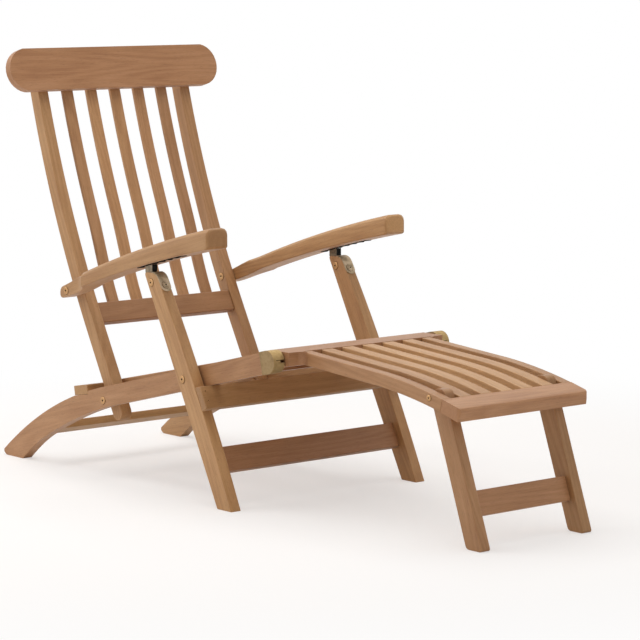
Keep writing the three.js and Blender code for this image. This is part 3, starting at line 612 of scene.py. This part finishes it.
@dataclass(frozen=True)
class RivetHead:
    """Low domed head with a punched pit in its middle.

    Attributes:
        radius_mm: Radius of its rim.
        rise_mm: Height of its top above the face that it sits on.
        shank_mm: Radius of the shank.
        pit_mm: Radius of the pit.
        pit_depth_mm: Depth of the pit.
        steps: Faces round the head.
        finish: Its metal.
    """

    radius_mm: float = 9.5
    rise_mm: float = 1.6
    shank_mm: float = 4.0
    pit_mm: float = 2.2
    pit_depth_mm: float = 1.2
    steps: int = 48
    finish: Metal = RIVET_BRASS

    def profile(self) -> list[tuple[float, float]]:
        """Radius and height of the corners from the rim's foot to the pit, in millimetres."""
        dome = [(1.0, 1.0), (1.0, 0.72), (0.965, 0.5), (0.9, 0.32), (0.8, 0.17), (0.65, 0.06), (0.45, 0.01)]
        corners = [(self.radius_mm * across, -self.rise_mm * drop) for across, drop in dome]
        lip = [(self.pit_mm + 0.4, 0.0), (self.pit_mm, -0.25), (self.pit_mm * 0.9, -self.pit_depth_mm)]
        return [*corners, *lip, (0.0, -self.pit_depth_mm)]

    def turned(self, name: str, tip: Vector, outside: int, length_mm: float, both: bool) -> bpy.types.Object:
        """Spins the rivet round its axis, which runs across the chair.

        Args:
            name: Name of the new object.
            tip: Highest point of the outer head on the axis, in metres.
            outside: Side that the outer head faces, 1 for left or -1 for right.
            length_mm: Length from that point to the inner end.
            both: Whether the inner end has a head too.

        Returns:
            The new object, with its place in its mesh.
        """
        head = self.profile()
        inner = [(0.0, -length_mm), (self.shank_mm, -length_mm)]
        if both:
            inner = [(radius, -length_mm - height) for radius, height in reversed(head)]
            inner.append((self.shank_mm, self.rise_mm - length_mm))
        outline = [*inner, (self.shank_mm, -self.rise_mm), *head]
        work = bmesh.new()
        corners = [
            work.verts.new(tip + Vector((radius, outside * height, 0)) * MM) for radius, height in outline
        ]
        lines = [work.edges.new(pair) for pair in zip(corners, corners[1:])]
        bmesh.ops.spin(
            work,
            geom=[*corners, *lines],
            cent=tip,
            axis=(0, 1, 0),
            angle=2 * math.pi,
            steps=self.steps,
            use_merge=True,
        )
        bmesh.ops.remove_doubles(work, verts=work.verts, dist=RIVET_WELD * MM)
        bmesh.ops.recalc_face_normals(work, faces=work.faces)
        for face in work.faces:
            face.smooth = True
        mesh = bpy.data.meshes.new(f"{name}_shape")
        work.to_mesh(mesh)
        work.free()
        mesh.set_sharp_from_angle(angle=math.radians(RIVET_CREASE))
        piece = bpy.data.objects.new(name, mesh)
        bpy.context.scene.collection.objects.link(piece)
        return piece

    def dress(self, piece: bpy.types.Object, x: float, z: float) -> None:
        """Gives the rivet its metal, and paints shade into its pits and onto the outer walls of its rims.

        Args:
            piece: Rivet whose axis runs across the chair.
            x: Place of the axis along the chair, in metres.
            z: Its height.
        """
        self.finish.dress(piece)
        away = [math.hypot(corner.co.x - x, corner.co.z - z) / MM for corner in piece.data.vertices]
        # Painted shade in the pit.
        tint_faces(piece, RECESS_SHADE, lambda face: max(away[i] for i in face.vertices) < self.pit_mm * 1.05)
        # Painted shade on the outer wall of the rim.
        tint_faces(piece, RIM_SHADE_BRASS, lambda face: min(away[i] for i in face.vertices) > self.radius_mm * 0.95)


@dataclass(frozen=True)
class WasherHead(RivetHead):
    """Domed head on a flat washer, with a dark gap between them."""

    def profile(self) -> list[tuple[float, float]]:
        """Radius and height of the corners from the washer's foot to the pit, in millimetres."""
        steps = [
            (1.0, 1.0),
            (1.0, 0.62),
            (0.96, 0.5),
            (0.72, 0.48),
            (0.7, 0.95),
            (0.62, 0.95),
            (0.6, 0.4),
            (0.54, 0.15),
            (0.42, 0.02),
        ]
        corners = [(self.radius_mm * across, -self.rise_mm * drop) for across, drop in steps]
        lip = [(self.pit_mm + 0.3, 0.0), (self.pit_mm, -0.25), (self.pit_mm * 0.9, -self.pit_depth_mm)]
        return [*corners, *lip, (0.0, -self.pit_depth_mm)]


@dataclass
class SubAssembly:
    """A body of the chair and the pieces that ride on it.

    Attributes:
        body: Name of the CAD body.
        made: Pieces finished so far.
        board_edges: Easing of the edges of its boards.
    """

    body: str
    board_edges: EdgeStyle = EdgeStyle()
    made: list[bpy.types.Object] = field(default_factory=list)

    def wooden(self, node: str, finish: Teak, grain: Grain, edges: EdgeStyle | None = None) -> None:
        """Finishes a wooden node.

        Args:
            node: Name of the CAD node.
            finish: Its wood.
            grain: How the grain lies in it.
            edges: Easing of its edges, if not that of the other boards.
        """
        piece = shaped(node, edges or self.board_edges)
        finish.dress(piece, grain)
        self.keep(piece)

    def metal(self, node: str, finish: Metal, edges: EdgeStyle) -> bpy.types.Object:
        """Finishes a metal node.

        Args:
            node: Name of the CAD node.
            finish: Its metal.
            edges: Easing of its edges.

        Returns:
            The finished piece.
        """
        piece = shaped(node, edges)
        finish.dress(piece)
        self.keep(piece)
        return piece

    def rivet(self, node: str, shape: RivetHead, both: bool) -> None:
        """Makes a rivet, with painted shade in the pits of its heads and on the walls of their rims.

        Args:
            node: Name of the CAD node that it replaces.
            shape: Form of its heads.
            both: Whether it has a head at its inner end too.
        """
        low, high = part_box(node)
        middle = (low + high) / 2
        outside = 1 if middle.y > 0 else -1
        tip = Vector((middle.x, high.y if outside == 1 else low.y, middle.z))
        piece = shape.turned(f"{node}_piece", tip, outside, (high.y - low.y) / MM, both)
        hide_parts(node)
        shape.dress(piece, middle.x, middle.z)
        self.keep(piece)

    def stud(self, name: str, shape: RivetHead, foot: Vector, axis: Vector) -> None:
        """Adds the head of a screw that the CAD model leaves out.

        Args:
            name: Name of the new object.
            shape: Form of its head.
            foot: Middle of the head on the surface, in metres.
            axis: Direction in which it faces.
        """
        piece = shape.turned(name, Vector((0, 0, 0)), 1, shape.rise_mm + 2.0, False)
        shape.dress(piece, 0, 0)
        turn = Vector((0, 1, 0)).rotation_difference(axis.normalized()).to_matrix().to_4x4()
        lift = axis.normalized() * shape.rise_mm * MM
        piece.data.transform(Matrix.Translation(foot + lift) @ turn)
        self.keep(piece)

    def keep(self, piece: bpy.types.Object) -> None:
        """Lets a finished piece ride on this body and reports it."""
        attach(piece, self.body)
        self.made.append(piece)
        log.info("%s: %s, %d faces", self.body, piece.name, len(piece.data.polygons))


RIVET_EDGES = EdgeStyle(radius_mm=0.4, segments=2, least_angle=35, least_mm=0.3)
PLATE_EDGES = EdgeStyle(radius_mm=0.5, segments=2, least_angle=40, least_mm=1.0)
LARGE_RIVET = RivetHead()
SMALL_RIVET = RivetHead(radius_mm=7, rise_mm=1.4, shank_mm=2.5, pit_mm=1.7, pit_depth_mm=1.0)
ACROSS = (0.0, 1.0, 0.0)


@dataclass
class SeatFrame(SubAssembly):
    """Rails, caps, cross boards and slats of the seat."""

    body: str = "seat_frame"
    rails: dict[Side, Tint] = field(
        default_factory=lambda: {Side.LEFT: Tint(0.91, 0.1), Side.RIGHT: Tint(0.88, 0.03)}
    )
    seam_mm: tuple[float, float, float] = (253.7, 231.0, 337.0)
    seam_size_mm: tuple[float, float, float] = (3.0, 22.5, 1.3)
    rail_grain: tuple[float, float, float] = (0.97, 0.0, 0.245)
    slat_grain: tuple[float, float, float] = (0.978, 0.0, 0.206)
    slat_spread: float = 0.05

    def build(self) -> None:
        """Builds every piece of the seat frame."""
        for side in Side:
            grain = Grain(self.rail_grain, 3.1 + side.value, self.rails[side])
            self.wooden(f"seat_rail_{side.word}", TEAK, grain)
            cap = self.metal(f"rail_cap_{side.word}", BRASS, PLATE_EDGES)
            # Painted shading: the nose, top and bottom faces of the cap get a second brass colour.
            tint_faces(cap, NOSE_SHADING_BRASS, lambda face: abs(face.normal.y) < 0.6)
            self.seam(side)
        self.wooden("seat_rear_board", TEAK, Grain(ACROSS, 1.3, Tint(1.0, 0.12)))
        self.wooden("seat_middle_bearer", SHADED_TEAK, Grain(ACROSS, 2.3))
        self.wooden("seat_front_bearer", SHADED_TEAK, Grain(ACROSS, 5.9))
        self.wooden("heel_bar", SHADED_TEAK, Grain(ACROSS, 7.7, Tint(1.16, 0.13)))
        for i in range(1, 7):
            tint = Tint(1.0 + self.slat_spread * math.sin(i * 2.4), 0.05)
            self.wooden(f"seat_slat_{i}", TEAK, Grain(self.slat_grain, 11.0 + i * 1.37, tint))

    def seam(self, side: Side) -> None:
        """Paints the shade in the seam across the nose of a cap as a dark strip that fills it."""
        name = f"cap_seam_{side.word}"
        work = bmesh.new()
        bmesh.ops.create_cube(work, size=MM)
        bmesh.ops.scale(work, vec=Vector(self.seam_size_mm), verts=work.verts)
        middle = Vector(self.seam_mm) * Vector((1, side.value, 1)) * MM
        bmesh.ops.translate(work, vec=middle, verts=work.verts)
        mesh = bpy.data.meshes.new(f"{name}_shape")
        work.to_mesh(mesh)
        work.free()
        piece = bpy.data.objects.new(name, mesh)
        bpy.context.scene.collection.objects.link(piece)
        # The strip is painted shade in the seam.
        RECESS_SHADE.dress(piece)
        self.keep(piece)


@dataclass
class Back(SubAssembly):
    """Stiles, headboard, slats and lower rail of the back."""

    body: str = "backrest"
    lean: tuple[float, float, float] = (-0.37, 0.0, 0.929)
    stiles: dict[Side, Tint] = field(
        default_factory=lambda: {Side.LEFT: Tint(0.86, 0.07), Side.RIGHT: Tint(0.95, 0.09)}
    )
    slats: tuple[Tint, ...] = (
        Tint(0.9, 0.05),
        Tint(1.05, 0.06),
        Tint(0.98, 0.06),
        Tint(0.95, 0.04),
        Tint(0.82, 0.04),
    )

    def build(self) -> None:
        """Builds every piece of the back."""
        for side in Side:
            grain = Grain(self.lean, 21.0 + side.value * 1.9, self.stiles[side])
            self.wooden(f"back_stile_{side.word}", TEAK, grain)
        self.wooden("headboard", TEAK, Grain(ACROSS, 4.7, Tint(0.89)), EdgeStyle(radius_mm=4.5, segments=4))
        self.wooden("back_lower_rail", SHADED_TEAK, Grain(ACROSS, 9.4, Tint(0.86, 0.03)))
        for i, tint in enumerate(self.slats, start=1):
            self.wooden(f"back_slat_{i}", TEAK, Grain(self.lean, 31.0 + i * 1.73, tint))


@dataclass
class Arms(SubAssembly):
    """The two arms and the notched racks under them."""

    body: str = "arms"
    lie: tuple[float, float, float] = (0.963, 0.0, 0.268)
    # The left arm's end grain is lightened 1.6 times: painted light on the nose, which a lamp lights.
    tints: dict[Side, Tint] = field(
        default_factory=lambda: {Side.LEFT: Tint(1.0, 0.1, ends=1.6), Side.RIGHT: Tint(0.91, 0.09)}
    )
    arm_edges: EdgeStyle = EdgeStyle(radius_mm=1.8, segments=2, least_angle=24, least_mm=3.0)

    def build(self) -> None:
        """Builds the arms and racks."""
        for side in Side:
            grain = Grain(self.lie, 41.0 + side.value * 2.3, self.tints[side])
            self.wooden(f"arm_{side.word}", TEAK, grain, self.arm_edges)
            self.metal(f"arm_rack_{side.word}", BLACK_STEEL_AND_SHADE, PLATE_EDGES)


@dataclass
class FrontLegs(SubAssembly):
    """Front legs with their catches, plates, stop board and stretcher."""

    body: str = "front_legs"
    lean: tuple[float, float, float] = (-0.462, 0.0, 0.887)
    tints: dict[Side, Tint] = field(
        default_factory=lambda: {Side.LEFT: Tint(0.98, 0.09), Side.RIGHT: Tint(1.05, 0.09)}
    )
    screws_mm: tuple[tuple[float, float, float], ...] = ((39.81, 267.0, 250.61), (49.98, 267.0, 231.1))
    screw: RivetHead = RivetHead(radius_mm=2.8, rise_mm=0.5, shank_mm=1.8, pit_mm=2.0, pit_depth_mm=0.45)
    stud_mm: tuple[float, float, float] = (-104.0, 264.0, 469.7)
    stud_faces: tuple[float, float, float] = (0.85, 0.0, 0.526)
    stud_head: WasherHead = WasherHead(
        radius_mm=9.2, rise_mm=1.9, shank_mm=2.0, pit_mm=1.9, pit_depth_mm=1.2, finish=GREY_BRASS
    )

    def build(self) -> None:
        """Builds every piece of the front legs."""
        for side in Side:
            grain = Grain(self.lean, 51.0 + side.value * 3.3, self.tints[side])
            self.wooden(f"front_leg_{side.word}", TEAK, grain)
            hook = self.metal(f"leg_catch_{side.word}", STEEL, PLATE_EDGES)
            # Painted shade: the catch's faces toward the front and top are black.
            tint_faces(hook, BLACK_STEEL_AND_SHADE, lambda face: face.normal.x > 0.5 or face.normal.z > 0.5)
            self.metal(f"leg_plate_{side.word}", GREY_BRASS, PLATE_EDGES)
            self.rivet(f"leg_rivet_{side.word}", LARGE_RIVET, both=False)
            self.rivet(f"catch_pin_{side.word}", LARGE_RIVET, both=True)
            self.fasten(side)
        self.wooden("stop_board", SHADED_TEAK, Grain(ACROSS, 12.4, Tint(1.0, 0.1)))
        self.wooden("leg_stretcher", SHADED_TEAK, Grain(ACROSS, 15.8, Tint(0.86)))

    def fasten(self, side: Side) -> None:
        """Adds the two screws of the stop board and the stud of the plate on one side."""
        forward = Vector((self.lean[2], 0, -self.lean[0]))
        mirror = Vector((1, side.value, 1)) * MM
        for i, place in enumerate(self.screws_mm, start=1):
            self.stud(f"stop_board_screw_{side.word}_{i}", self.screw, Vector(place) * mirror, forward)
        foot = Vector(self.stud_mm) * mirror
        self.stud(f"plate_stud_{side.word}", self.stud_head, foot, Vector(self.stud_faces))


@dataclass
class Footrest(SubAssembly):
    """Arched footrest with its slats, rails and pins."""

    body: str = "footrest"
    side_grain: tuple[float, float, float] = (0.99, 0.0, -0.13)
    sides: dict[Side, Tint] = field(
        default_factory=lambda: {Side.LEFT: Tint(0.86, 0.07), Side.RIGHT: Tint(0.88, 0.04)}
    )
    slats: tuple[Tint, ...] = (
        Tint(0.92, 0.07),
        Tint(1.04, 0.09),
        Tint(1.09, 0.1),
        Tint(1.1, 0.09),
        Tint(1.03, 0.09),
    )

    def build(self) -> None:
        """Builds every piece of the footrest."""
        for side in Side:
            grain = Grain(self.side_grain, 61.0 + side.value * 1.3, self.sides[side])
            self.wooden(f"footrest_side_{side.word}", TEAK, grain)
            self.metal(f"footrest_pin_{side.word}", BRASS, RIVET_EDGES)
            self.rivet(f"footrest_rivet_{side.word}", SMALL_RIVET, both=False)
        # The rear rail's low tone of 0.8 paints the shade between the seat and the footrest.
        self.wooden("footrest_rear_rail", TEAK, Grain(ACROSS, 17.1, Tint(0.8)))
        self.wooden("footrest_front_rail", TEAK, Grain(ACROSS, 19.3, Tint(0.95)), EdgeStyle(radius_mm=3))
        for i, tint in enumerate(self.slats, start=1):
            self.wooden(f"footrest_slat_{i}", TEAK, Grain(self.side_grain, 71.0 + i * 1.49, tint))


@dataclass
class FootrestLegs(SubAssembly):
    """Folding legs of the footrest and their stretcher."""

    body: str = "footrest_legs"
    lean: tuple[float, float, float] = (0.335, 0.0, -0.942)
    tints: dict[Side, Tint] = field(
        default_factory=lambda: {Side.LEFT: Tint(0.77, 0.09), Side.RIGHT: Tint(0.82, 0.05)}
    )

    def build(self) -> None:
        """Builds the legs and the stretcher."""
        for side in Side:
            grain = Grain(self.lean, 81.0 + side.value * 2.9, self.tints[side])
            self.wooden(f"footrest_leg_{side.word}", TEAK, grain)
        self.wooden("footrest_stretcher", SHADED_TEAK, Grain(ACROSS, 23.6, Tint(1.04)))


@dataclass
class Rivets(SubAssembly):
    """A pair of rivets that a moving body turns on."""

    body: str = "recline_rivets"
    node: str = "recline_rivet"

    def build(self) -> None:
        """Builds the pair."""
        for side in Side:
            self.rivet(f"{self.node}_{side.word}", LARGE_RIVET, both=True)


class Lamp(NamedTuple):
    """A square soft lamp that faces the chair.

    Attributes:
        name: Its name.
        place: Where it hangs, in metres.
        size: Length of its side, in metres.
        power: Its power, in watts.
    """

    name: str
    place: tuple[float, float, float]
    size: float
    power: float


@dataclass
class Studio:
    """Pale floor, soft lamps and the camera of the photograph.

    Attributes:
        azimuth: Camera's direction round the chair, in degrees.
        elevation: Its height above the horizon, in degrees.
        roll: Its tilt about the line of sight, in degrees.
        distance: From the camera to the point it looks at, in metres.
        target: That point, in metres.
        focal: Focal length in picture widths of 640 pixels.
        floor_colour: Colour of the floor where it is palest.
        floor_shade: Its colour where it is a little darker.
        floor_cloud_mm: Width of such a darker place.
        floor_half: Half the width of the floor, in metres.
        veiled_colour: Its colour to the camera, where the glow makes up the rest.
        glow: Light that the floor adds of its own, so that its shadows stay faint.
        glow_colour: Colour of that light.
        fade_from: Distance from the chair's middle where it begins to fade to white.
        fade_to: Distance where it is all white, in metres.
        room_colour: Colour of the soft light of the room.
        room_light: Its strength.
        aim: Point that the lamps face, in metres.
        lamps: A broad lamp overhead and two weaker ones at the sides.
    """

    azimuth: float = 50.558
    elevation: float = 7.148
    roll: float = -0.321
    distance: float = 5.97736
    target: tuple[float, float, float] = (0.10078, 0.00509, 0.38825)
    focal: float = 2715.55 / 640
    floor_colour: str = "fbfaf9"
    floor_shade: str = "f8f6f4"
    floor_cloud_mm: float = 400
    floor_half: float = 30
    veiled_colour: str = "c0bdba"
    glow: float = 0.5
    glow_colour: str = "fffdfb"
    fade_from: float = 0.9
    fade_to: float = 2.0
    room_colour: str = "f4f6fa"
    room_light: float = 0.42
    aim: tuple[float, float, float] = (0.0, 0.0, 0.35)
    lamps: tuple[Lamp, ...] = (
        Lamp("overhead", (-0.5, 0.0, 3.4), 3.6, 84),
        Lamp("left_of_camera", (-2.0, -2.7, 1.7), 2.2, 26),
        Lamp("right_of_camera", (4.2, -0.6, 1.6), 2.4, 10),
    )

    def build(self) -> None:
        """Sets the whole stage."""
        self.place_camera()
        self.lay_floor()
        self.light_world()
        for lamp in self.lamps:
            self.hang(lamp)
        bpy.context.scene.view_settings.view_transform = "Standard"

    def place_camera(self) -> None:
        """Makes the camera and points it as the photograph was taken."""
        azimuth, elevation, roll = (math.radians(a) for a in (self.azimuth, self.elevation, self.roll))
        level = math.cos(elevation)
        back = Vector((math.sin(azimuth) * level, -math.cos(azimuth) * level, math.sin(elevation)))
        flat = Vector((math.cos(azimuth), math.sin(azimuth), 0))
        over = back.cross(flat)
        right = math.cos(roll) * flat + math.sin(roll) * over
        up = math.cos(roll) * over - math.sin(roll) * flat
        data = bpy.data.cameras.new("camera")
        data.sensor_width = 36.0
        data.lens = self.focal * data.sensor_width
        data.clip_end = 100.0
        camera = bpy.data.objects.new("camera", data)
        camera.matrix_world = Matrix.Translation(Vector(self.target) + back * self.distance) @ Matrix(
            (right, up, back)
        ).transposed().to_4x4()
        bpy.context.scene.collection.objects.link(camera)
        bpy.context.scene.camera = camera

    def lay_floor(self) -> None:
        """Makes a large pale floor that keeps the shadows."""
        work = bmesh.new()
        bmesh.ops.create_grid(work, x_segments=1, y_segments=1, size=self.floor_half)
        mesh = bpy.data.meshes.new("floor_shape")
        work.to_mesh(mesh)
        work.free()
        floor = bpy.data.objects.new("floor", mesh)
        bpy.context.scene.collection.objects.link(floor)
        material, tree = new_material("pale_floor")
        place = add_node(tree, "ShaderNodeTexCoord")
        reach = add_node(tree, "ShaderNodeVectorMath", None, {0: place.outputs["Object"]}, operation="LENGTH")
        far = add_node(
            tree,
            "ShaderNodeMapRange",
            {"From Min": self.fade_from, "From Max": self.fade_to},
            {"Value": reach.outputs["Value"]},
            interpolation_type="SMOOTHSTEP",
        )
        paper = add_node(
            tree,
            "ShaderNodeTexNoise",
            {"Scale": 1 / (self.floor_cloud_mm * MM), "Detail": 2.0},
            {"Vector": place.outputs["Object"]},
        )
        shade = add_node(tree, "ShaderNodeValToRGB", None, {"Fac": paper.outputs["Fac"]})
        stops = shade.color_ramp.elements
        stops[0].color, stops[1].color = linear(self.floor_shade), linear(self.floor_colour)
        cloth = add_node(tree, "ShaderNodeBsdfDiffuse", None, {"Color": shade.outputs["Color"]})
        veiled = add_node(tree, "ShaderNodeBsdfDiffuse", {"Color": linear(self.veiled_colour)})
        glow = add_node(
            tree, "ShaderNodeEmission", {"Color": linear(self.glow_colour), "Strength": self.glow}
        )
        both = add_node(tree, "ShaderNodeAddShader", None, {0: veiled.outputs[0], 1: glow.outputs[0]})
        white = add_node(tree, "ShaderNodeEmission", {"Color": (1, 1, 1, 1), "Strength": 1.0})
        near = add_node(
            tree,
            "ShaderNodeMixShader",
            None,
            {0: far.outputs["Result"], 1: both.outputs[0], 2: white.outputs[0]},
        )
        path = add_node(tree, "ShaderNodeLightPath")
        seen = add_node(
            tree,
            "ShaderNodeMixShader",
            None,
            {0: path.outputs["Is Camera Ray"], 1: cloth.outputs[0], 2: near.outputs[0]},
        )
        add_node(tree, "ShaderNodeOutputMaterial", None, {"Surface": seen.outputs[0]})
        wear_material(floor, material)

    def light_world(self) -> None:
        """Fills the room with soft light and shows it white to the camera."""
        world = bpy.data.worlds.new("room")
        world.use_nodes = True
        tree = world.node_tree
        tree.nodes.clear()
        path = add_node(tree, "ShaderNodeLightPath")
        seen = add_node(
            tree,
            "ShaderNodeMath",
            None,
            {0: path.outputs["Is Camera Ray"], 1: path.outputs["Is Glossy Ray"]},
            operation="MAXIMUM",
        )
        clear = add_node(
            tree,
            "ShaderNodeMath",
            None,
            {0: seen.outputs[0], 1: path.outputs["Is Transmission Ray"]},
            operation="MAXIMUM",
        )
        soft = add_node(
            tree, "ShaderNodeBackground", {"Color": linear(self.room_colour), "Strength": self.room_light}
        )
        white = add_node(tree, "ShaderNodeBackground", {"Color": (1, 1, 1, 1), "Strength": 1.0})
        mixed = add_node(
            tree,
            "ShaderNodeMixShader",
            None,
            {0: clear.outputs[0], 1: soft.outputs[0], 2: white.outputs[0]},
        )
        add_node(tree, "ShaderNodeOutputWorld", None, {"Surface": mixed.outputs[0]})
        bpy.context.scene.world = world

    def hang(self, lamp: Lamp) -> None:
        """Hangs one lamp.

        Args:
            lamp: The lamp to hang.
        """
        data = bpy.data.lights.new(lamp.name, "AREA")
        data.size = lamp.size
        data.energy = lamp.power
        light = bpy.data.objects.new(lamp.name, data)
        light.location = lamp.place
        sight = Vector(self.aim) - Vector(lamp.place)
        light.rotation_euler = sight.to_track_quat("-Z", "Y").to_euler()
        bpy.context.scene.collection.objects.link(light)


def main() -> None:
    """Builds the studio and every sub-assembly of the chair."""
    Studio().build()
    assemblies = [
        SeatFrame(),
        Back(),
        Arms(),
        FrontLegs(),
        Footrest(),
        FootrestLegs(),
        Rivets(),
        Rivets(body="arm_rivets", node="arm_rivet"),
    ]
    for assembly in assemblies:
        assembly.build()
    log.info("%d pieces", sum(len(assembly.made) for assembly in assemblies))


if __name__ == "__main__":
    main()
